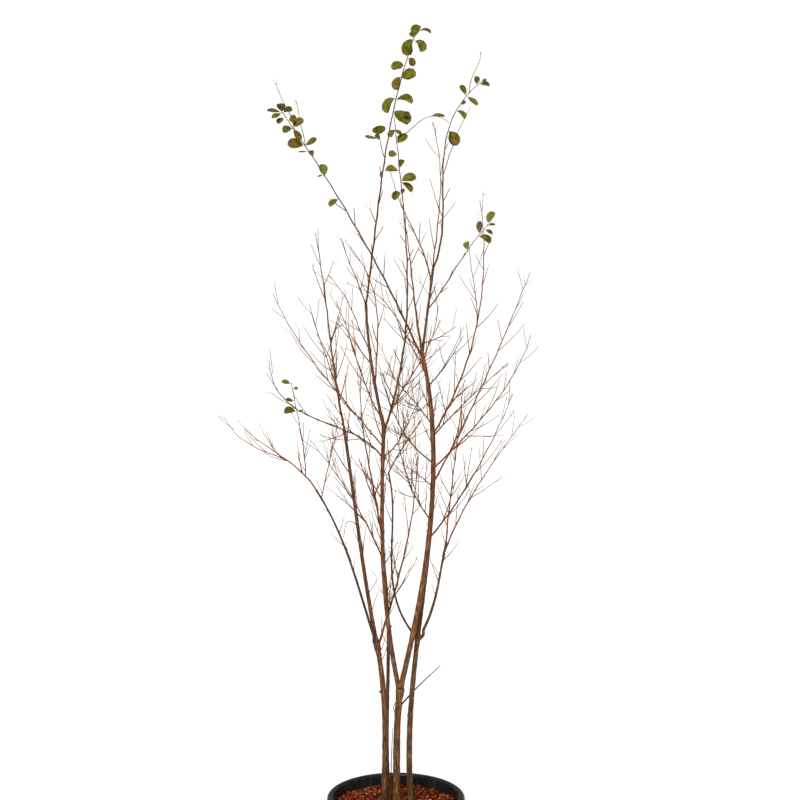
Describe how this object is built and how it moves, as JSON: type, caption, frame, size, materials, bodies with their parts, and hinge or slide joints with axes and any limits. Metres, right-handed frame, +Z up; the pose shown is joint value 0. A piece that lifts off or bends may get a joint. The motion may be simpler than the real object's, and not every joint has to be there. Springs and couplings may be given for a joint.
{
  "type": "potted crape myrtle tree",
  "caption": "Young multi-stemmed crape myrtle, nearly bare, with a few leaves at the ends of its shoots, in a round black nursery pot of bark mix.",
  "frame": {"origin": "centre of the pot's flat underside, on the ground", "axes": "+Z up along the plant, -Y toward the viewer of the picture, +X to the viewer's right"},
  "size_m": [1.0534, 0.7483, 2.8783],
  "materials": {
    "pot": "black, satin",
    "potting_mix": "rough bark chips",
    "bark": "smooth bark, matte",
    "leafy_twigs": "leaves, soft sheen",
    "bare_twigs": "thin twigs, matte"
  },
  "bodies": {
    "root": {"pot": "pot", "potting_mix": "potting_mix", "stem_left": "bark", "stem_centre": "bark", "stem_right": "bark", "stem_back": "bark", "bough_left": "bark", "bough_outer_left": "bark", "bough_centre_right": "bark", "bough_centre_left": "bark", "bough_crossing_low": "bark", "bough_top": "bark", "bough_right_upper": "bark", "bough_right_low": "bark", "leafy_top": "leafy_twigs", "leafy_outer_left": "leafy_twigs", "leafy_second_top": "leafy_twigs", "leafy_left_shoot": "leafy_twigs", "leafy_right_shoot": "leafy_twigs", "leafy_dark_shoot": "leafy_twigs", "leafy_right_low_shoot": "leafy_twigs", "twigs_top_left": "bare_twigs", "twigs_left_top": "bare_twigs", "twigs_outer_left_up": "bare_twigs", "twigs_long_left_low": "bare_twigs", "twigs_long_left_high": "bare_twigs", "twigs_cross_left_low": "bare_twigs", "twigs_left_front": "bare_twigs", "twigs_left_back": "bare_twigs", "twigs_left_back_high": "bare_twigs", "twigs_second_leader": "bare_twigs", "twigs_stem_back": "bare_twigs", "twigs_crossing_long": "bare_twigs", "twigs_centre_front": "bare_twigs", "twigs_crossing_low": "bare_twigs", "twigs_inner_left": "bare_twigs", "twigs_inner_crossing": "bare_twigs", "twigs_upper_crossing": "bare_twigs", "twigs_middle_crossing": "bare_twigs", "twigs_low_inner": "bare_twigs", "twigs_centre_top": "bare_twigs", "twigs_left_of_shoot": "bare_twigs", "twigs_right_twin": "bare_twigs", "twigs_right_low_up": "bare_twigs", "twigs_right_low_out": "bare_twigs", "twigs_right_first": "bare_twigs", "twigs_right_second": "bare_twigs", "twigs_right_third": "bare_twigs", "twigs_right_back": "bare_twigs", "twigs_right_tall": "bare_twigs", "twigs_right_front": "bare_twigs", "twigs_right_back_high": "bare_twigs", "dead_stick": "bare_twigs", "basal_shoot": "bare_twigs"}
  },
  "joints": []
}
